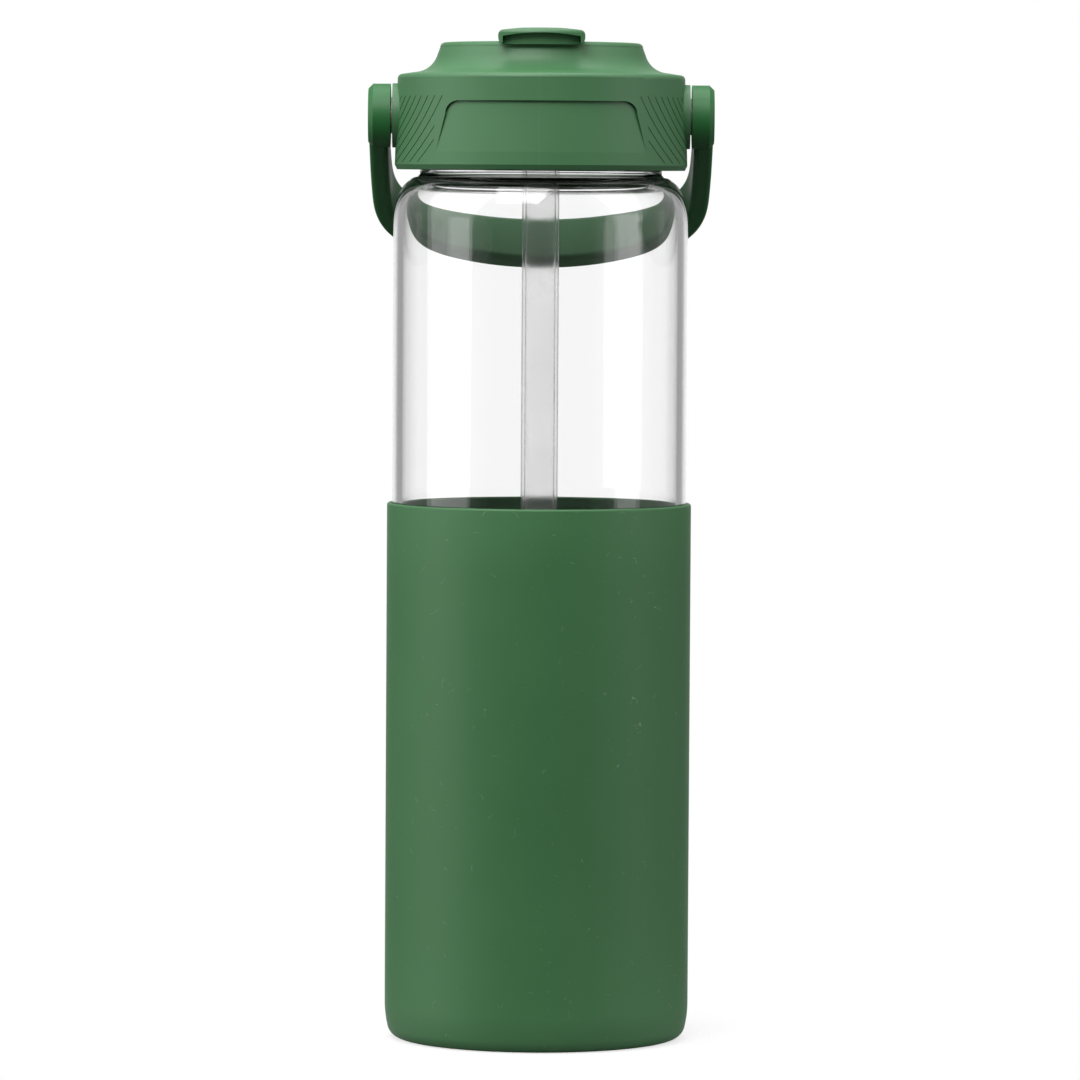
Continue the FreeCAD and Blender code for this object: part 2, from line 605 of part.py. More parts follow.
save("silicone_sleeve", silicone_sleeve())
save("glass_bottle", glass_bottle())
save("neck_gasket", neck_gasket())
save("lid_shell", lid_shell())
save("threaded_liner", threaded_liner())
save("spout_cradle", spout_cradle())
save("cradle_o_ring", cradle_o_ring())
save("port_seal", port_seal())
save("straw_socket", straw_socket())
save("drinking_straw", drinking_straw())
save("vent_valve", vent_valve())
for name, side in (("left", -1), ("right", 1)):
    save("pivot_screw_" + name, pivot_screw(side))
    save("pivot_washer_" + name, pivot_washer(side))
    save("pivot_cap_" + name, pivot_cap(side))
save("carry_handle", carry_handle())
save("flip_spout", flip_spout())
save("spout_mouthpiece", spout_mouthpiece())
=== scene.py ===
import math

import bmesh
import bpy
from mathutils import Matrix, Vector


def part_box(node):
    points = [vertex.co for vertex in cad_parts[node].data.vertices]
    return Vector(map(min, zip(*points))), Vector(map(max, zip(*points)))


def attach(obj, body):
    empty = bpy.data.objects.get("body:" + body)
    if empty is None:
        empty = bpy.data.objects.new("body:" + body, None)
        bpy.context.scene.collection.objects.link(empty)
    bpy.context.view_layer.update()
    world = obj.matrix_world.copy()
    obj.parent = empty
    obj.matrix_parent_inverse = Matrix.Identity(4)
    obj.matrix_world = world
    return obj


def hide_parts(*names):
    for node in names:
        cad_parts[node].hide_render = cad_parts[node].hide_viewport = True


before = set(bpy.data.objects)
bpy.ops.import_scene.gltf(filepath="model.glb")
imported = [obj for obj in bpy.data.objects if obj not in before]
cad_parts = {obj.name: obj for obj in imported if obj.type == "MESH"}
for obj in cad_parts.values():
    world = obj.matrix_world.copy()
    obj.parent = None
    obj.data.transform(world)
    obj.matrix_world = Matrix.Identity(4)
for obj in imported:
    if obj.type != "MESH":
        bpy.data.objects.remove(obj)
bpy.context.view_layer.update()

bl_info = {
    "name": "Glass Water Bottle",
    "version": (1, 0, 0),
    "blender": (4, 5, 0),
    "location": "View3D > Sidebar > Bottle",
    "description": "Builds a sleeved glass water bottle with a spout lid and a carry handle",
    "category": "Add Mesh",
}

SLEEVE_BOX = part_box("silicone_sleeve")
GLASS_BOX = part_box("glass_bottle")
STRAW_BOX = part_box("drinking_straw")
MM = 0.001
MERGE = 0.000001
GRAIN_DEPTH = 0.04 * MM
RIPPLE_DEPTH = 0.2 * MM
DUST_COLOUR = (0.62, 0.66, 0.62, 1)
PARTING_COLOUR = (0.09, 0.26, 0.11, 1)
PARTING_LEFT = 0.5 * MM
PARTING_CORE = 0.04 * MM
PARTING_EDGE = 0.16 * MM
RING_RADII = (12 * MM, 19 * MM, 26 * MM)
RING_WIDTH = 1.4 * MM
RING_DEPTH = 0.6 * MM
RING_SLOPE = 0.1 * MM
SHOULDER_Z = 203.8 * MM
SHOULDER_RUN = 6.25 * MM
SHOULDER_RISE = 11.6 * MM
INNER_RUN = 5.2 * MM
INNER_RISE = 9.8 * MM
PANEL_EDGE = math.cos(math.radians(31))
PANEL_FULL = math.cos(math.radians(11))
PANEL_LIGHT = 1.06
ROOM_LIGHT = 0.08
CEILING_LIGHT = 0.5
SIDE_LIGHT = 0.3
SEEN_THROUGH = 0.4
LAMP_TARGET_Z = 130 * MM
FLOOR_REACH = 6.0
CAMERA_RIGHT = 0.3 * MM


def length(name, description, default):
    return bpy.props.FloatProperty(
        name=name, description=description, default=default, min=0.0, precision=5,
        subtype="DISTANCE", unit="LENGTH",
    )


def colour(name, description, default):
    return bpy.props.FloatVectorProperty(
        name=name, description=description, default=default, size=3, min=0.0, max=1.0, subtype="COLOR"
    )


def power(name, description, default):
    return bpy.props.FloatProperty(
        name=name, description=description, default=default, min=0.0, subtype="POWER"
    )


def angle(name, description, degrees):
    return bpy.props.FloatProperty(
        name=name, description=description, default=math.radians(degrees), subtype="ANGLE"
    )


class BottleSizes(bpy.types.PropertyGroup):
    """Sizes of the turned pieces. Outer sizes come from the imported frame."""

    sleeve_radius: length("Sleeve Radius", "Outside radius of the silicone sleeve", SLEEVE_BOX[1][0])
    sleeve_top: length("Sleeve Top", "Height of the sleeve's rim above the floor", SLEEVE_BOX[1][2])
    sleeve_floor: length("Sleeve Floor", "Thickness of the floor that the glass stands on", GLASS_BOX[0][2])
    glass_radius: length("Glass Radius", "Outside radius of the glass", 36.75 * MM)
    glass_wall: length("Glass Wall", "Thickness of the glass wall", 2.4 * MM)
    glass_floor: length("Glass Floor", "Height of the glass's inner floor", 7.5 * MM)
    lip_top: length("Lip Top", "Height of the glass lip", GLASS_BOX[1][2])
    neck_radius: length("Neck Radius", "Outside radius of the glass neck", 30.25 * MM)
    neck_bore: length("Neck Bore", "Inside radius of the glass neck", 27.25 * MM)
    straw_radius: length("Straw Radius", "Outside radius of the straw", STRAW_BOX[1][0])
    straw_bore: length("Straw Bore", "Inside radius of the straw", 3.6 * MM)
    turned_segments: bpy.props.IntProperty(
        name="Turned Segments", description="Steps round a turned piece", default=256, min=32, max=512
    )


class BottleColours(bpy.types.PropertyGroup):
    """Base colours of the finishes."""

    sleeve: colour("Sleeve", "Silicone sleeve", (0.044, 0.150, 0.054))
    lid: colour("Lid", "Moulded lid shell and spout", (0.046, 0.152, 0.058))
    handle: colour("Handle", "Carry handle and its caps", (0.018, 0.122, 0.030))
    liner: colour("Liner", "Lid liner and spout cradle", (0.036, 0.140, 0.048))
    glass: colour("Glass", "Clear glass", (0.995, 0.995, 0.995))
    straw: colour("Straw", "Frosted straw", (0.95, 0.95, 0.95))
    seal: colour("Seal", "Gasket, rings and valve", (0.70, 0.72, 0.69))
    steel: colour("Steel", "Pivot screws", (0.62, 0.62, 0.60))
    washer: colour("Washer", "Pivot washers", (0.68, 0.68, 0.65))
    floor: colour("Floor", "Studio floor", (0.93, 0.93, 0.93))


class BottleStudio(bpy.types.PropertyGroup):
    """Lamps and camera."""

    left_power: power("Left Softbox", "Power of the left softbox", 13.0)
    right_power: power("Right Softbox", "Power of the right softbox", 11.0)
    front_power: power("Front Light", "Power of the raised front light", 4.3)
    top_power: power("Top Light", "Power of the overhead light", 10.0)
    lens: bpy.props.FloatProperty(
        name="Lens", description="Focal length on a 36 mm sensor, in mm", default=233.5, min=10.0
    )
    distance: length("Distance", "From the bottle's axis to the camera", 1.75)
    height: length("Height", "Camera height above the floor", 0.212)
    pitch: angle("Pitch", "How far the camera looks down", 2.856)
    roll: angle("Roll", "Camera roll about its own axis", 0.34)


# ------------------------------------------------------------------ node helpers
def node(tree, kind, place, values=None, **settings):
    """A node of that kind at a grid place, with settings and input values. A link is given as a socket."""
    made = tree.nodes.new(kind)
    made.location = (place[0] * 200, place[1] * -180)
    for name, value in settings.items():
        setattr(made, name, value)
    for key, value in (values or {}).items():
        socket = made.inputs[key]
        if isinstance(value, bpy.types.NodeSocket):
            tree.links.new(value, socket)
        else:
            socket.default_value = value
    return made


def maths(tree, operation, place, first, second=0.5):
    return node(tree, "ShaderNodeMath", place, {0: first, 1: second}, operation=operation).outputs[0]


def spread(tree, place, value, low, high, to_low, to_high):
    """Maps low..high to to_low..to_high, clamped."""
    made = node(tree, "ShaderNodeMapRange", place, {"Value": value, "From Min": low, "From Max": high})
    for key, number in (("To Min", to_low), ("To Max", to_high)):
        if isinstance(number, bpy.types.NodeSocket):
            tree.links.new(number, made.inputs[key])
        else:
            made.inputs[key].default_value = number
    return made.outputs["Result"]


def shader_group(name, inputs, outputs):
    """An empty shader node group with named float inputs (name, default) and outputs (name, socket type)."""
    group = bpy.data.node_groups.new(name, "ShaderNodeTree")
    for label, default in inputs:
        socket = group.interface.new_socket(label, in_out="INPUT", socket_type="NodeSocketFloat")
        socket.default_value = default
    for label, kind in outputs:
        group.interface.new_socket(label, in_out="OUTPUT", socket_type=kind)
    start = group.nodes.new("NodeGroupInput")
    start.location = (-900, 0)
    end = group.nodes.new("NodeGroupOutput")
    end.location = (1400, 0)
    return group, start, end


def moulded_skin():
    """Fine moulded grain with soft mottling, as a tone, a roughness and a height for a bump."""
    name = "Moulded Skin"
    if name in bpy.data.node_groups:
        return bpy.data.node_groups[name]
    inputs = (
        ("Grain Scale", 2600.0), ("Mottle Scale", 45.0), ("Mottle", 0.06),
        ("Roughness", 0.4), ("Variation", 0.05),
    )
    outputs = (("Tone", "NodeSocketFloat"), ("Roughness", "NodeSocketFloat"), ("Height", "NodeSocketFloat"))
    group, start, end = shader_group(name, inputs, outputs)
    place = group.nodes.new("ShaderNodeTexCoord").outputs["Object"]
    grain = {"Vector": place, "Scale": start.outputs["Grain Scale"], "Detail": 3.0}
    fine = node(group, "ShaderNodeTexNoise", (0, 0), grain)
    mottle = {"Vector": place, "Scale": start.outputs["Mottle Scale"], "Detail": 4.0}
    broad = node(group, "ShaderNodeTexNoise", (0, 2), mottle)
    low = maths(group, "SUBTRACT", (2, 1), 1.0, start.outputs["Mottle"])
    high = maths(group, "ADD", (2, 2), 1.0, start.outputs["Mottle"])
    tone = spread(group, (3, 1), broad.outputs["Fac"], 0.3, 0.7, low, high)
    least = maths(group, "SUBTRACT", (2, 3), start.outputs["Roughness"], start.outputs["Variation"])
    most = maths(group, "ADD", (2, 4), start.outputs["Roughness"], start.outputs["Variation"])
    rough = spread(group, (3, 3), broad.outputs["Fac"], 0.3, 0.7, least, most)
    group.links.new(tone, end.inputs["Tone"])
    group.links.new(rough, end.inputs["Roughness"])
    group.links.new(fine.outputs["Fac"], end.inputs["Height"])
    return group


def settled_dust():
    """A sparse mask of tiny specks and short lint, where it lies thickest in soft patches."""
    name = "Settled Dust"
    if name in bpy.data.node_groups:
        return bpy.data.node_groups[name]
    inputs = (
        ("Speck Scale", 2000.0), ("Speck Size", 0.15), ("Lint Scale", 210.0),
        ("Lint Width", 0.006), ("Cover", 0.5),
    )
    group, start, end = shader_group(name, inputs, (("Mask", "NodeSocketFloat"),))
    place = group.nodes.new("ShaderNodeTexCoord").outputs["Object"]
    spots = {"Vector": place, "Scale": start.outputs["Speck Scale"]}
    cell = node(group, "ShaderNodeTexVoronoi", (0, 0), spots)
    chance = node(group, "ShaderNodeSeparateColor", (1, 0), {"Color": cell.outputs["Color"]})
    rare = maths(group, "GREATER_THAN", (2, 0), chance.outputs[0], 0.975)
    near = maths(group, "LESS_THAN", (2, 1), cell.outputs["Distance"], start.outputs["Speck Size"])
    speck = maths(group, "MULTIPLY", (3, 0), rare, near)
    bent = node(group, "ShaderNodeTexNoise", (0, 2), {"Vector": place, "Scale": 260.0, "Detail": 1.0})
    nudge = node(group, "ShaderNodeVectorMath", (1, 2), {0: bent.outputs["Color"]}, operation="SCALE")
    nudge.inputs["Scale"].default_value = 0.004
    moved = node(group, "ShaderNodeVectorMath", (2, 2), {0: place, 1: nudge.outputs[0]}, operation="ADD")
    threads = {"Vector": moved.outputs[0], "Scale": start.outputs["Lint Scale"]}
    web = node(group, "ShaderNodeTexVoronoi", (3, 2), threads, feature="DISTANCE_TO_EDGE")
    line = maths(group, "LESS_THAN", (4, 2), web.outputs["Distance"], start.outputs["Lint Width"])
    broken = node(group, "ShaderNodeTexNoise", (3, 3), {"Vector": place, "Scale": 420.0, "Detail": 0.0})
    piece = maths(group, "GREATER_THAN", (4, 3), broken.outputs["Fac"], 0.73)
    lint = maths(group, "MULTIPLY", (5, 2), line, piece)
    patch = node(group, "ShaderNodeTexNoise", (3, 4), {"Vector": place, "Scale": 28.0, "Detail": 2.0})
    thick = spread(group, (5, 4), patch.outputs["Fac"], 0.35, 0.65, 0.15, 1.0)
    both = maths(group, "MAXIMUM", (6, 1), speck, lint)
    shown = maths(group, "MULTIPLY", (7, 1), both, thick)
    cover = maths(group, "MULTIPLY", (8, 1), shown, start.outputs["Cover"])
    group.links.new(cover, end.inputs["Mask"])
    return group


def handled_film():
    """Faint wipe marks and prints: a roughness that rises slightly in soft patches, and a very low ripple."""
    name = "Handled Film"
    if name in bpy.data.node_groups:
        return bpy.data.node_groups[name]
    inputs = (("Clean", 0.0), ("Marked", 0.06), ("Mark Scale", 60.0), ("Ripple Scale", 22.0))
    outputs = (("Roughness", "NodeSocketFloat"), ("Height", "NodeSocketFloat"))
    group, start, end = shader_group(name, inputs, outputs)
    place = group.nodes.new("ShaderNodeTexCoord").outputs["Object"]
    marks = node(
        group, "ShaderNodeTexNoise", (0, 0),
        {"Vector": place, "Scale": start.outputs["Mark Scale"], "Detail": 6.0, "Distortion": 0.6},
    )
    clean, marked = start.outputs["Clean"], start.outputs["Marked"]
    rough = spread(group, (2, 0), marks.outputs["Fac"], 0.55, 0.8, clean, marked)
    waves = {"Vector": place, "Scale": start.outputs["Ripple Scale"], "Detail": 1.0}
    ripple = node(group, "ShaderNodeTexNoise", (0, 2), waves)
    group.links.new(rough, end.inputs["Roughness"])
    group.links.new(ripple.outputs["Fac"], end.inputs["Height"])
    return group


def empty_material(name):
    """A new material with its Principled node."""
    material = bpy.data.materials.new("finish_" + name)
    material.use_nodes = True
    return material, material.node_tree, material.node_tree.nodes["Principled BSDF"]


def toned(tree, base, tone):
    """The base colour made a little lighter or darker by a tone that varies over the surface."""
    scaled = node(tree, "ShaderNodeVectorMath", (-3, 0), {0: base}, operation="SCALE")
    tree.links.new(tone, scaled.inputs["Scale"])
    return scaled.outputs[0]


def bump(tree, surface, height, strength, distance):
    relief = {"Height": height, "Strength": strength, "Distance": distance}
    made = node(tree, "ShaderNodeBump", (-2, 3), relief)
    tree.links.new(made.outputs["Normal"], surface.inputs["Normal"])


def skin_node(tree, grain, mottle, roughness, variation):
    """The moulded skin group in a material, with its inputs set."""
    skin = node(tree, "ShaderNodeGroup", (-5, 1), node_tree=moulded_skin())
    inputs = (("Grain Scale", grain), ("Mottle", mottle), ("Roughness", roughness), ("Variation", variation))
    for key, value in inputs:
        skin.inputs[key].default_value = value
    return skin


def moulded(name, base, roughness, grain, mottle=0.04, dust=0.0, specular=0.5, strength=0.25, parting=0.0):
    """Moulded plastic or silicone. dust and parting say how much dust and parting line show."""
    material, tree, surface = empty_material(name)
    skin = skin_node(tree, grain, mottle, roughness, roughness * 0.08)
    shade = toned(tree, base, skin.outputs["Tone"])
    if dust:
        lying = node(tree, "ShaderNodeGroup", (-5, 3), node_tree=settled_dust())
        lying.inputs["Cover"].default_value = dust
        mixed = node(tree, "ShaderNodeMix", (-2, 0), data_type="RGBA")
        tree.links.new(lying.outputs["Mask"], mixed.inputs[0])
        tree.links.new(shade, mixed.inputs[6])
        mixed.inputs[7].default_value = DUST_COLOUR
        shade = mixed.outputs[2]
    if parting:
        place = node(tree, "ShaderNodeTexCoord", (-6, 5)).outputs["Object"]
        parts = node(tree, "ShaderNodeSeparateXYZ", (-5, 5), {"Vector": place})
        away = maths(tree, "ABSOLUTE", (-3, 5), maths(tree, "ADD", (-4, 5), parts.outputs["X"], PARTING_LEFT))
        line = spread(tree, (-2, 5), away, PARTING_CORE, PARTING_EDGE, parting, 0.0)
        mixed = node(tree, "ShaderNodeMix", (-1, 5), data_type="RGBA")
        tree.links.new(line, mixed.inputs[0])
        tree.links.new(shade, mixed.inputs[6])
        mixed.inputs[7].default_value = PARTING_COLOUR
        shade = mixed.outputs[2]
    tree.links.new(shade, surface.inputs["Base Color"])
    tree.links.new(skin.outputs["Roughness"], surface.inputs["Roughness"])
    surface.inputs["Specular IOR Level"].default_value = specular
    bump(tree, surface, skin.outputs["Height"], strength, GRAIN_DEPTH)
    return material


def clear_glass(base):
    material, tree, surface = empty_material("borosilicate_glass")
    film = node(tree, "ShaderNodeGroup", (-5, 1), node_tree=handled_film())
    film.inputs["Marked"].default_value = 0.025
    surface.inputs["Base Color"].default_value = (*base, 1)
    surface.inputs["Transmission Weight"].default_value = 1.0
    surface.inputs["IOR"].default_value = 1.473
    tree.links.new(film.outputs["Roughness"], surface.inputs["Roughness"])
    bump(tree, surface, film.outputs["Height"], 0.15, RIPPLE_DEPTH)
    return material


def frosted(name, base, roughness, transmission, ior):
    material, tree, surface = empty_material(name)
    skin = skin_node(tree, 1800.0, 0.03, roughness, 0.03)
    tree.links.new(toned(tree, base, skin.outputs["Tone"]), surface.inputs["Base Color"])
    tree.links.new(skin.outputs["Roughness"], surface.inputs["Roughness"])
    surface.inputs["Transmission Weight"].default_value = transmission
    surface.inputs["IOR"].default_value = ior
    bump(tree, surface, skin.outputs["Height"], 0.2, GRAIN_DEPTH)
    return material


def turned_steel(base):
    material, tree, surface = empty_material("screw_steel")
    place = node(tree, "ShaderNodeTexCoord", (-7, 0)).outputs["Object"]
    rings = node(tree, "ShaderNodeTexNoise", (-5, 0), {"Vector": place, "Scale": 900.0, "Detail": 4.0})
    rough = spread(tree, (-3, 1), rings.outputs["Fac"], 0.3, 0.7, 0.24, 0.4)
    tree.links.new(toned(tree, base, spread(tree, (-4, 0), rings.outputs["Fac"], 0.3, 0.7, 0.9, 1.05)),
                   surface.inputs["Base Color"])
    tree.links.new(rough, surface.inputs["Roughness"])
    surface.inputs["Metallic"].default_value = 1.0
    return material


def fading_floor(base):
    """A matt white floor that fades out round the bottle, so that it meets the studio without an edge."""
    material, tree, surface = empty_material("studio_floor")
    place = node(tree, "ShaderNodeTexCoord", (-7, 0)).outputs["Object"]
    reach = node(tree, "ShaderNodeVectorMath", (-6, 0), {0: place}, operation="LENGTH").outputs["Value"]
    fade = spread(tree, (-4, 0), reach, 0.03, 0.14, 0.3, 0.0)
    grain = node(tree, "ShaderNodeTexNoise", (-6, 2), {"Vector": place, "Scale": 40.0})
    tone = spread(tree, (-4, 2), grain.outputs["Fac"], 0.3, 0.7, 0.995, 1.005)
    tree.links.new(toned(tree, base, tone), surface.inputs["Base Color"])
    tree.links.new(fade, surface.inputs["Alpha"])
    surface.inputs["Roughness"].default_value = 0.7
    surface.inputs["Specular IOR Level"].default_value = 0.2
    return material


# ------------------------------------------------------------------ shapes
def arc(centre, radius, angle_from, angle_to, steps):
    """Points after the first along an arc, in metres and degrees."""
    found = []
    for i in range(1, steps + 1):
        a = math.radians(angle_from + (angle_to - angle_from) * i / steps)
        found.append((centre[0] + radius * math.cos(a), centre[1] + radius * math.sin(a)))
    return found


def oval(centre, run, rise, share_from, share_to, steps):
    """Points after the first along a quarter ellipse: a share of 0 is level with the centre, 1 is its top."""
    found = []
    for i in range(1, steps + 1):
        a = math.radians(90 * (share_from + (share_to - share_from) * i / steps))
        found.append((centre[0] + run * math.cos(a), centre[1] + rise * math.sin(a)))
    return found


def through(start, middle, end, steps):
    """Points after the first along the circle through three points."""
    ax, ay = start
    bx, by = middle
    cx, cy = end
    d = 2 * (ax * (by - cy) + bx * (cy - ay) + cx * (ay - by))
    a2, b2, c2 = ax * ax + ay * ay, bx * bx + by * by, cx * cx + cy * cy
    ux = (a2 * (by - cy) + b2 * (cy - ay) + c2 * (ay - by)) / d
    uy = (a2 * (cx - bx) + b2 * (ax - cx) + c2 * (bx - ax)) / d
    first = math.degrees(math.atan2(ay - uy, ax - ux))
    last = math.degrees(math.atan2(cy - uy, cx - ux))
    if last - first > 180:
        last -= 360
    if first - last > 180:
        last += 360
    return arc((ux, uy), math.hypot(ax - ux, ay - uy), first, last, steps)


def sleeve_profile(sizes):
    radius, top, floor = sizes.sleeve_radius, sizes.sleeve_top, sizes.sleeve_floor
    belly_z, belly_r, heel_r, rim = 9 * MM, 27 * MM, 3.6 * MM, 0.55 * MM
    slope = math.degrees(math.asin((belly_z - heel_r) / (belly_r - heel_r)))
    flat = radius - belly_r + (belly_r - heel_r) * math.cos(math.radians(slope))
    bore = sizes.glass_radius + 0.05 * MM
    inner = 6 * MM
    points = [(0.0, 0.0)]
    for near in RING_RADII:
        far = near + RING_WIDTH
        points += [(near, 0.0), (near + RING_SLOPE, RING_DEPTH), (far - RING_SLOPE, RING_DEPTH), (far, 0.0)]
    points.append((flat, 0.0))
    points += arc((flat, heel_r), heel_r, -90, -slope, 12)
    points += arc((radius - belly_r, belly_z), belly_r, -slope, 0, 8)
    points += [(radius, z * top / 8) for z in range(1, 8)]
    points.append((radius, top - rim))
    points += arc((radius - rim, top - rim), rim, 0, 90, 6)
    points.append((bore + rim, top))
    points += arc((bore + rim, top - rim), rim, 90, 180, 6)
    points.append((bore, floor + inner))
    points += arc((bore - inner, floor + inner), inner, 0, -90, 12)
    points.append((0.0, floor))
    return points


def glass_profile(sizes):
    radius, wall, lip = sizes.glass_radius, sizes.glass_wall, sizes.lip_top
    neck, bore, stand = sizes.neck_radius, sizes.neck_bore, sizes.sleeve_floor
    heel, rounding = 6 * MM, 1.2 * MM
    inside = radius - wall
    points = [(0.0, stand + 1.0 * MM), (13 * MM, stand + 0.78 * MM)]
    points += [(26 * MM, stand), (radius - heel, stand)]
    points += arc((radius - heel, stand + heel), heel, -90, 0, 14)
    points += [(radius, z * MM) for z in (40, 80, 120, 160, 190)]
    points.append((radius, SHOULDER_Z))
    points += oval((radius - SHOULDER_RUN, SHOULDER_Z), SHOULDER_RUN, SHOULDER_RISE, 0, 0.9, 40)
    foot = points[-1][1] + 0.95 * MM
    points += through(points[-1], (neck + 0.28 * MM, foot - 0.62 * MM), (neck, foot), 8)
    points.append((neck, lip - rounding))
    points += arc((neck - rounding, lip - rounding), rounding, 0, 90, 8)
    points.append((bore + rounding, lip))
    points += arc((bore + rounding, lip - rounding), rounding, 90, 180, 8)
    top = SHOULDER_Z + INNER_RISE
    points.append((bore, top + 1.1 * MM))
    inner = [(inside, SHOULDER_Z)]
    inner += oval((inside - INNER_RUN, SHOULDER_Z), INNER_RUN, INNER_RISE, 0, 0.88, 36)
    points += through(points[-1], ((inner[-1][0] + bore) / 2 - 0.1 * MM, top + 0.3 * MM), inner[-1], 8)
    points += inner[-2::-1]
    points += [(inside, z * MM) for z in (190, 160, 120, 80, 40)]
    floor = sizes.glass_floor
    points.append((inside, floor + heel))
    points += arc((inside - heel, floor + heel), heel, 0, -90, 14)
    points.append((0.0, floor))
    return points


def straw_profile(sizes):
    low, high = STRAW_BOX[0][2], STRAW_BOX[1][2]
    outer, inner = sizes.straw_radius, sizes.straw_bore
    points = [(inner, low)]
    points.append((outer, low))
    points += [(outer, low + (high - low) * i / 12) for i in range(1, 12)]
    points += [(outer, high), (inner, high)]
    points += [(inner, high - (high - low) * i / 12) for i in range(1, 12)]
    return points + [(inner, low)]


def geometry_tree(name, inputs):
    """A Geometry Nodes group with further named inputs, each a name, socket type and default."""
    tree = bpy.data.node_groups.new(name, "GeometryNodeTree")
    tree.interface.new_socket("Geometry", in_out="INPUT", socket_type="NodeSocketGeometry")
    for label, kind, default in inputs:
        socket = tree.interface.new_socket(label, in_out="INPUT", socket_type=kind)
        if default is not None:
            socket.default_value = default
    tree.interface.new_socket("Geometry", in_out="OUTPUT", socket_type="NodeSocketGeometry")
    start = tree.nodes.new("NodeGroupInput")
    end = tree.nodes.new("NodeGroupOutput")
    end.location = (3200, 0)
    return tree, start, end


def finish_tree(tree, start, end, geometry, sharp=35.0):
    """Merges seams, shades smooth except over sharp edges, realizes, and sets the material."""
    merged = node(tree, "GeometryNodeMergeByDistance", (9, 0), {"Geometry": geometry, "Distance": MERGE})
    smooth = node(tree, "GeometryNodeSetShadeSmooth", (10, 0), {"Geometry": merged.outputs[0]})
    bend = node(tree, "GeometryNodeInputMeshEdgeAngle", (9, 2)).outputs[0]
    over = maths(tree, "GREATER_THAN", (10, 2), bend, math.radians(sharp))
    crisp = node(
        tree, "GeometryNodeSetShadeSmooth", (11, 0),
        {"Geometry": smooth.outputs[0], "Selection": over, "Shade Smooth": False}, domain="EDGE",
    )
    real = node(tree, "GeometryNodeRealizeInstances", (12, 0), {"Geometry": crisp.outputs[0]})
    finish = {"Geometry": real.outputs[0], "Material": start.outputs["Material"]}
    painted = node(tree, "GeometryNodeSetMaterial", (13, 0), finish)
    tree.links.new(painted.outputs[0], end.inputs[0])
    return tree


def turned_tree():
    """Turns the object's own points, taken in order as radius and height, about Z."""
    name = "Turned Piece"
    if name in bpy.data.node_groups:
        return bpy.data.node_groups[name]
    inputs = (("Segments", "NodeSocketInt", 256), ("Material", "NodeSocketMaterial", None))
    tree, start, end = geometry_tree(name, inputs)
    size = node(tree, "GeometryNodeAttributeDomainSize", (1, 1), {"Geometry": start.outputs["Geometry"]})
    count = size.outputs["Point Count"]
    rows = maths(tree, "ADD", (1, 2), start.outputs["Segments"], 1.0)
    grid = node(tree, "GeometryNodeMeshGrid", (2, 0), {"Vertices X": rows, "Vertices Y": count})
    index = node(tree, "GeometryNodeInputIndex", (2, 2)).outputs[0]
    along = maths(tree, "MODULO", (3, 2), index, count)
    turn = maths(tree, "FLOOR", (4, 3), maths(tree, "DIVIDE", (3, 3), index, count))
    part = maths(tree, "DIVIDE", (5, 3), turn, start.outputs["Segments"])
    swing = maths(tree, "MULTIPLY", (6, 3), part, 2 * math.pi)
    place = node(tree, "GeometryNodeInputPosition", (3, 1))
    found = node(
        tree, "GeometryNodeSampleIndex", (5, 1),
        {"Geometry": start.outputs["Geometry"], "Value": place.outputs[0], "Index": along},
        data_type="FLOAT_VECTOR", domain="POINT",
    )
    about_z = {"Vector": found.outputs[0], "Angle": swing}
    turned = node(tree, "ShaderNodeVectorRotate", (7, 2), about_z, rotation_type="Z_AXIS")
    shift = {"Geometry": grid.outputs["Mesh"], "Position": turned.outputs[0]}
    moved = node(tree, "GeometryNodeSetPosition", (8, 0), shift)
    return finish_tree(tree, start, end, moved.outputs[0])


def ridge_tree():
    """Sweeps the object's own outline round a rising spiral, with ends that fade out."""
    name = "Thread Ridge"
    if name in bpy.data.node_groups:
        return bpy.data.node_groups[name]
    inputs = (
        ("Radius", "NodeSocketFloat", 0.03),
        ("Lead", "NodeSocketFloat", 0.005),
        ("Turns", "NodeSocketFloat", 1.25),
        ("Start Height", "NodeSocketFloat", 0.2215),
        ("Steps", "NodeSocketInt", 160),
        ("Material", "NodeSocketMaterial", None),
    )
    tree, start, end = geometry_tree(name, inputs)
    radius, turns = start.outputs["Radius"], start.outputs["Turns"]
    rise = maths(tree, "MULTIPLY", (1, 1), start.outputs["Lead"], turns)
    path = {"Resolution": start.outputs["Steps"], "Rotations": turns, "Height": rise}
    path.update({"Start Radius": radius, "End Radius": radius})
    spiral = node(tree, "GeometryNodeCurveSpiral", (2, 0), path)
    upright = node(tree, "GeometryNodeSetCurveNormal", (3, 0), {"Curve": spiral.outputs[0]}, mode="Z_UP")
    along = node(tree, "GeometryNodeSplineParameter", (2, 3)).outputs["Factor"]
    ends = maths(tree, "MINIMUM", (4, 3), along, maths(tree, "SUBTRACT", (3, 3), 1.0, along))
    fade = node(tree, "ShaderNodeMapRange", (5, 3), {"Value": ends, "From Max": 0.07, "To Min": 0.15})
    sized = node(
        tree, "GeometryNodeSetCurveRadius", (4, 0), {"Curve": upright.outputs[0], "Radius": fade.outputs[0]}
    )
    outline = node(tree, "GeometryNodeMeshToCurve", (4, 1), {"Mesh": start.outputs["Geometry"]})
    swept = node(
        tree, "GeometryNodeCurveToMesh", (6, 0),
        {"Curve": sized.outputs[0], "Profile Curve": outline.outputs[0], "Fill Caps": True},
    )
    lift = node(tree, "ShaderNodeCombineXYZ", (6, 2), {"Z": start.outputs["Start Height"]})
    lifted = {"Geometry": swept.outputs[0], "Translation": lift.outputs[0]}
    moved = node(tree, "GeometryNodeTransform", (7, 0), lifted)
    return finish_tree(tree, start, end, moved.outputs[0])


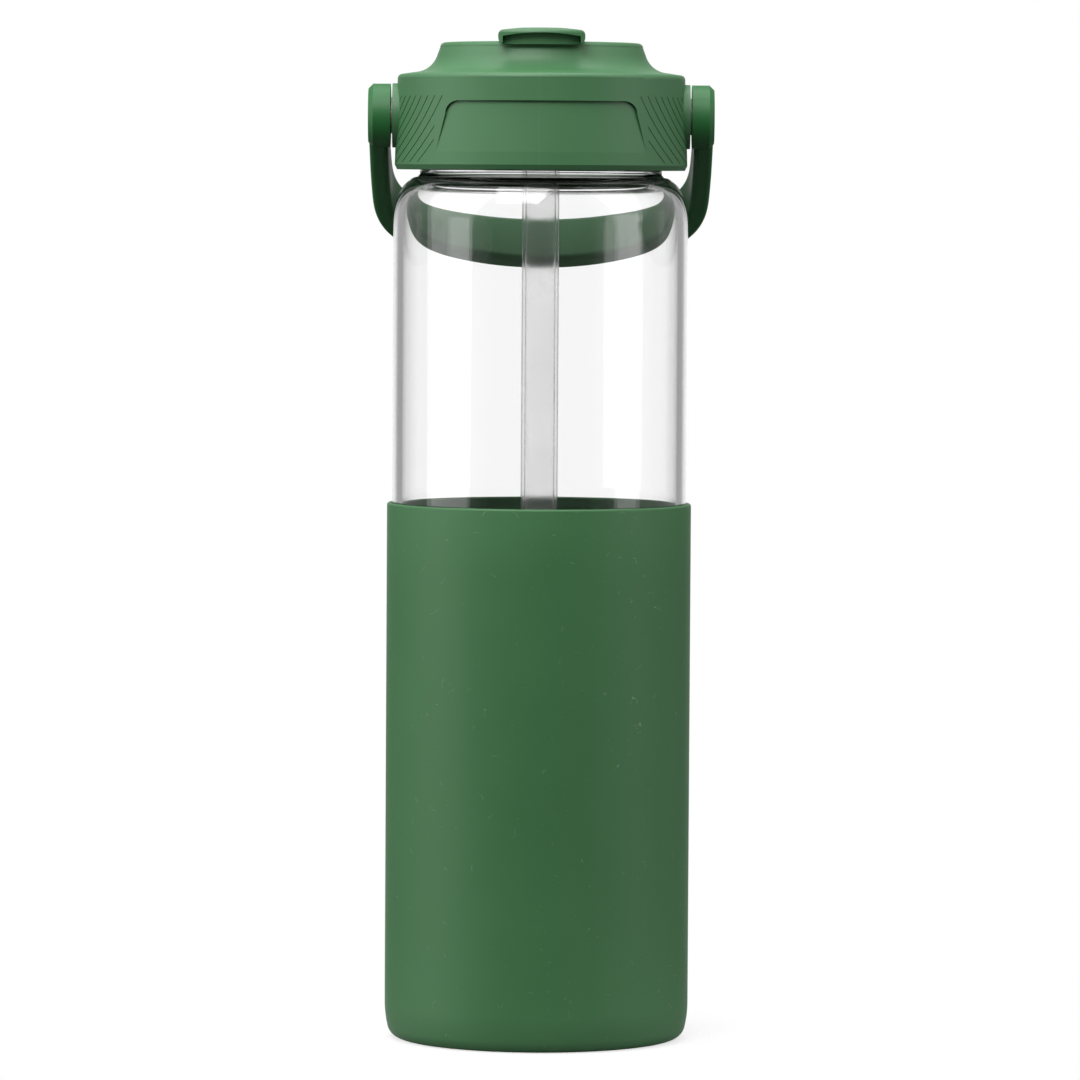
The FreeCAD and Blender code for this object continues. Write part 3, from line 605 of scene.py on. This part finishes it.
def from_tree(name, points, closed, tree, values):
    """Runs a tree on a line through the points and returns a plain mesh object, with its normals outwards."""
    line = bpy.data.meshes.new(name + "_line")
    count = len(points)
    edges = [(i, i + 1) for i in range(count - 1)]
    if closed:
        edges.append((count - 1, 0))
    line.from_pydata(points, edges, [])
    maker = bpy.data.objects.new(name + "_maker", line)
    bpy.context.scene.collection.objects.link(maker)
    modifier = maker.modifiers.new("Shape", "NODES")
    modifier.node_group = tree
    for item in tree.interface.items_tree:
        if item.item_type == "SOCKET" and item.in_out == "INPUT" and item.name in values:
            modifier[item.identifier] = values[item.name]
    bpy.context.view_layer.update()
    depsgraph = bpy.context.evaluated_depsgraph_get()
    mesh = bpy.data.meshes.new_from_object(maker.evaluated_get(depsgraph), depsgraph=depsgraph)
    mesh.name = name
    bpy.data.objects.remove(maker)
    bpy.data.meshes.remove(line)
    work = bmesh.new()
    work.from_mesh(mesh)
    bmesh.ops.remove_doubles(work, verts=work.verts, dist=MERGE)
    bmesh.ops.dissolve_degenerate(work, edges=work.edges, dist=MERGE / 2)
    bmesh.ops.recalc_face_normals(work, faces=work.faces)
    work.to_mesh(mesh)
    work.free()
    if not mesh.polygons:
        raise RuntimeError(name + " came out empty")
    piece = bpy.data.objects.new(name, mesh)
    bpy.context.scene.collection.objects.link(piece)
    return piece


def upright(points):
    return [(r, 0.0, z) for r, z in points]


def turned_piece(name, profile, material):
    values = {"Segments": bpy.context.scene.bottle_sizes.turned_segments, "Material": material}
    return from_tree(name, upright(profile), False, turned_tree(), values)


def place(piece, body, slot, *nodes):
    """Finishes a new piece: it rides on a body and hides the CAD nodes it stands for. The slot is not used.
    """
    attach(piece, body)
    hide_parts(*nodes)
    return piece


def paint(material, *nodes):
    """Gives CAD nodes that stay as they are a finished material."""
    for name in nodes:
        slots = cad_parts[name].material_slots
        if not slots:
            raise RuntimeError(name + " has no material slot")
        for slot in slots:
            slot.material = material


def unite(piece, other):
    """Joins another closed mesh into the piece with a boolean and removes the other."""
    modifier = piece.modifiers.new("Unite", "BOOLEAN")
    modifier.operation = "UNION"
    modifier.solver = "EXACT"
    modifier.object = other
    bpy.context.view_layer.update()
    depsgraph = bpy.context.evaluated_depsgraph_get()
    mesh = bpy.data.meshes.new_from_object(piece.evaluated_get(depsgraph), depsgraph=depsgraph)
    piece.modifiers.clear()
    old = piece.data
    piece.data = mesh
    mesh.name = old.name
    bpy.data.meshes.remove(old)
    bpy.data.objects.remove(other)


# ------------------------------------------------------------------ operators
class MakeGlass(bpy.types.Operator):
    """Makes the glass bottle with its thread"""

    bl_idname = "bottle.make_glass"
    bl_label = "Glass Bottle"

    def execute(self, context):
        sizes = context.scene.bottle_sizes
        material = clear_glass(context.scene.bottle_colours.glass)
        glass = turned_piece("glass_body", glass_profile(sizes), material)
        sunk, crest = -0.4 * MM, 1.25 * MM
        outline = [(sunk, -1.6 * MM, 0), (crest, -0.6 * MM, 0), (crest, 0.6 * MM, 0), (sunk, 1.6 * MM, 0)]
        values = {"Radius": sizes.neck_radius, "Material": material}
        ridge = from_tree("glass_thread", outline, True, ridge_tree(), values)
        unite(glass, ridge)
        place(glass, "bottle", "borosilicate_glass", "glass_bottle")
        return {"FINISHED"}


class MakeSleeve(bpy.types.Operator):
    """Makes the silicone sleeve"""

    bl_idname = "bottle.make_sleeve"
    bl_label = "Silicone Sleeve"

    def execute(self, context):
        base = context.scene.bottle_colours.sleeve
        material = moulded(
            "sleeve_silicone", base, 0.5, 1500.0, mottle=0.03, dust=0.3, specular=0.4, strength=0.3
        )
        sleeve = turned_piece("sleeve_skin", sleeve_profile(context.scene.bottle_sizes), material)
        place(sleeve, "bottle", "sleeve_silicone", "silicone_sleeve")
        return {"FINISHED"}


class MakeStraw(bpy.types.Operator):
    """Makes the frosted straw, cut on a slant at its foot"""

    bl_idname = "bottle.make_straw"
    bl_label = "Drinking Straw"

    def execute(self, context):
        material = frosted("straw_plastic", context.scene.bottle_colours.straw, 0.25, 0.95, 1.08)
        straw = turned_piece("straw_tube", straw_profile(context.scene.bottle_sizes), material)
        low = STRAW_BOX[0][2]
        slant = math.tan(math.radians(30))
        for vertex in straw.data.vertices:
            if vertex.co.z < low + 1 * MM:
                vertex.co.z = low + max(0.0, vertex.co.y + 2 * MM) * slant
        place(straw, "lid", "straw_plastic", "drinking_straw")
        return {"FINISHED"}


class FinishLid(bpy.types.Operator):
    """Gives the lid's moulded pieces their finish"""

    bl_idname = "bottle.finish_lid"
    bl_label = "Lid"

    def execute(self, context):
        colours = context.scene.bottle_colours
        paint(moulded("lid_plastic", colours.lid, 0.5, 2600.0, parting=0.15), "lid_shell")
        paint(moulded("liner_plastic", colours.liner, 0.42, 2600.0), "threaded_liner", "spout_cradle")
        return {"FINISHED"}


class FinishSpout(bpy.types.Operator):
    """Gives the flip spout and its mouthpiece their finish"""

    bl_idname = "bottle.finish_spout"
    bl_label = "Flip Spout"

    def execute(self, context):
        colours = context.scene.bottle_colours
        paint(moulded("spout_plastic", colours.lid, 0.48, 2600.0), "flip_spout")
        paint(moulded("mouthpiece_silicone", colours.sleeve, 0.5, 1500.0, specular=0.4), "spout_mouthpiece")
        return {"FINISHED"}


class FinishHandle(bpy.types.Operator):
    """Gives the carry handle and its caps their finish"""

    bl_idname = "bottle.finish_handle"
    bl_label = "Carry Handle"

    def execute(self, context):
        material = moulded("handle_plastic", context.scene.bottle_colours.handle, 0.5, 2600.0, specular=0.4)
        paint(material, "carry_handle", "pivot_cap_left", "pivot_cap_right")
        return {"FINISHED"}


class FinishSeals(bpy.types.Operator):
    """Gives the gasket, rings, socket and valve their finish"""

    bl_idname = "bottle.finish_seals"
    bl_label = "Seals"

    def execute(self, context):
        material = frosted("seal_silicone", context.scene.bottle_colours.seal, 0.5, 0.35, 1.41)
        paint(material, "neck_gasket", "cradle_o_ring", "port_seal", "straw_socket", "vent_valve")
        return {"FINISHED"}


class FinishPivots(bpy.types.Operator):
    """Gives the pivot screws and washers their finish"""

    bl_idname = "bottle.finish_pivots"
    bl_label = "Pivot Screws and Washers"

    def execute(self, context):
        colours = context.scene.bottle_colours
        steel = turned_steel(colours.steel)
        acetal = moulded("washer_plastic", colours.washer, 0.3, 2000.0)
        for side in ("left", "right"):
            paint(steel, "pivot_screw_" + side)
            paint(acetal, "pivot_washer_" + side)
        return {"FINISHED"}


def softbox(name, watts, across, tall, azimuth, height, distance):
    """An area lamp that faces the bottle. Azimuth 0 is in front of it, and 90 is on its right."""
    lamp = bpy.data.lights.new(name, "AREA")
    lamp.shape = "RECTANGLE"
    lamp.size, lamp.size_y = across, tall
    lamp.energy = watts
    thing = bpy.data.objects.new(name, lamp)
    a = math.radians(azimuth)
    thing.location = (distance * math.sin(a), -distance * math.cos(a), height)
    aim = Vector((0, 0, LAMP_TARGET_Z)) - thing.location
    thing.rotation_euler = aim.to_track_quat("-Z", "Y").to_euler()
    bpy.context.scene.collection.objects.link(thing)
    return thing


def studio_world():
    """A dark studio with a bright panel behind the bottle. It is plain white where it is looked at.

    Clear pieces show a little more of the room than the others reflect, so that they don't look smoked.
    """
    world = bpy.data.worlds.new("studio")
    world.use_nodes = True
    tree = world.node_tree
    tree.nodes.clear()
    way = node(tree, "ShaderNodeTexCoord", (-6, 0)).outputs["Generated"]
    parts = node(tree, "ShaderNodeSeparateXYZ", (-5, 0), {"Vector": way})
    panel = spread(tree, (-4, 0), parts.outputs["Y"], PANEL_EDGE, PANEL_FULL, 0.0, PANEL_LIGHT)
    room = spread(tree, (-4, 1), parts.outputs["Z"], 0.0, 0.6, ROOM_LIGHT, CEILING_LIGHT)
    beside = maths(tree, "ABSOLUTE", (-5, 2), parts.outputs["X"])
    sides = spread(tree, (-4, 2), beside, 0.6, 0.9, 0.0, SIDE_LIGHT)
    grey = maths(tree, "MAXIMUM", (-2, 0), panel, maths(tree, "ADD", (-3, 1), room, sides))
    path = node(tree, "ShaderNodeLightPath", (-3, 2))
    behind = spread(tree, (-4, 3), parts.outputs["Y"], -0.75, -0.3, ROOM_LIGHT, SEEN_THROUGH)
    clear = maths(tree, "MAXIMUM", (-3, 3), panel, behind)
    crossed = {0: path.outputs["Is Transmission Ray"], 2: grey, 3: clear}
    met = node(tree, "ShaderNodeMix", (-1, 1), crossed, data_type="FLOAT")
    shown = {0: path.outputs["Is Camera Ray"], 2: met.outputs[0], 3: 1.0}
    level = node(tree, "ShaderNodeMix", (0, 0), shown, data_type="FLOAT")
    back = node(tree, "ShaderNodeBackground", (1, 0), {"Strength": level.outputs[0]})
    back.inputs["Color"].default_value = (1, 1, 1, 1)
    out = node(tree, "ShaderNodeOutputWorld", (2, 0))
    tree.links.new(back.outputs[0], out.inputs[0])
    return world


class MakeStage(bpy.types.Operator):
    """Makes the pale floor, the studio light and the camera"""

    bl_idname = "bottle.make_stage"
    bl_label = "Stage"

    def execute(self, context):
        scene = context.scene
        studio = scene.bottle_studio
        mesh = bpy.data.meshes.new("studio_floor")
        work = bmesh.new()
        bmesh.ops.create_circle(work, cap_ends=True, segments=96, radius=FLOOR_REACH)
        work.to_mesh(mesh)
        work.free()
        floor = bpy.data.objects.new("studio_floor", mesh)
        scene.collection.objects.link(floor)
        mesh.materials.append(fading_floor(scene.bottle_colours.floor))
        softbox(
            "left_softbox", studio.left_power,
            across=1.17, tall=2.2, azimuth=-77.5, height=0.8, distance=1.2,
        )
        softbox(
            "right_softbox", studio.right_power,
            across=0.8, tall=3.0, azimuth=74, height=1.1, distance=1.25,
        )
        softbox(
            "front_light", studio.front_power,
            across=0.44, tall=0.42, azimuth=-20, height=0.75, distance=0.5,
        )
        softbox(
            "top_light", studio.top_power,
            across=1.0, tall=1.0, azimuth=180, height=1.5, distance=0.15,
        )
        scene.world = studio_world()
        scene.view_settings.view_transform = "Standard"
        lens = bpy.data.cameras.new("camera")
        lens.lens = studio.lens
        lens.sensor_width = 36.0
        lens.clip_start, lens.clip_end = 0.05, 50.0
        camera = bpy.data.objects.new("camera", lens)
        look = Matrix.Rotation(math.pi / 2 - studio.pitch, 4, "X") @ Matrix.Rotation(studio.roll, 4, "Z")
        place_at = Matrix.Translation((CAMERA_RIGHT, -studio.distance, studio.height))
        camera.matrix_world = place_at @ look
        scene.collection.objects.link(camera)
        scene.camera = camera
        return {"FINISHED"}


STEPS = (
    MakeGlass, MakeSleeve, MakeStraw, FinishLid, FinishSpout,
    FinishHandle, FinishSeals, FinishPivots, MakeStage,
)


class BottlePanel(bpy.types.Panel):
    """Lists the bottle's pieces and their sizes and colours"""

    bl_idname = "VIEW3D_PT_glass_bottle"
    bl_label = "Glass Water Bottle"
    bl_space_type = "VIEW_3D"
    bl_region_type = "UI"
    bl_category = "Bottle"

    def draw(self, context):
        column = self.layout.column()
        for step in STEPS:
            column.operator(step.bl_idname)
        scene = context.scene
        for settings in (scene.bottle_sizes, scene.bottle_colours, scene.bottle_studio):
            box = self.layout.box()
            for name in settings.__annotations__:
                box.prop(settings, name)


CLASSES = (BottleSizes, BottleColours, BottleStudio, *STEPS, BottlePanel)


def register():
    for one in CLASSES:
        bpy.utils.register_class(one)
    bpy.types.Scene.bottle_sizes = bpy.props.PointerProperty(type=BottleSizes)
    bpy.types.Scene.bottle_colours = bpy.props.PointerProperty(type=BottleColours)
    bpy.types.Scene.bottle_studio = bpy.props.PointerProperty(type=BottleStudio)


def unregister():
    del bpy.types.Scene.bottle_sizes
    del bpy.types.Scene.bottle_colours
    del bpy.types.Scene.bottle_studio
    for one in reversed(CLASSES):
        bpy.utils.unregister_class(one)


def main():
    register()
    for step in STEPS:
        group, name = step.bl_idname.split(".")
        getattr(getattr(bpy.ops, group), name)()


if __name__ == "__main__":
    main()
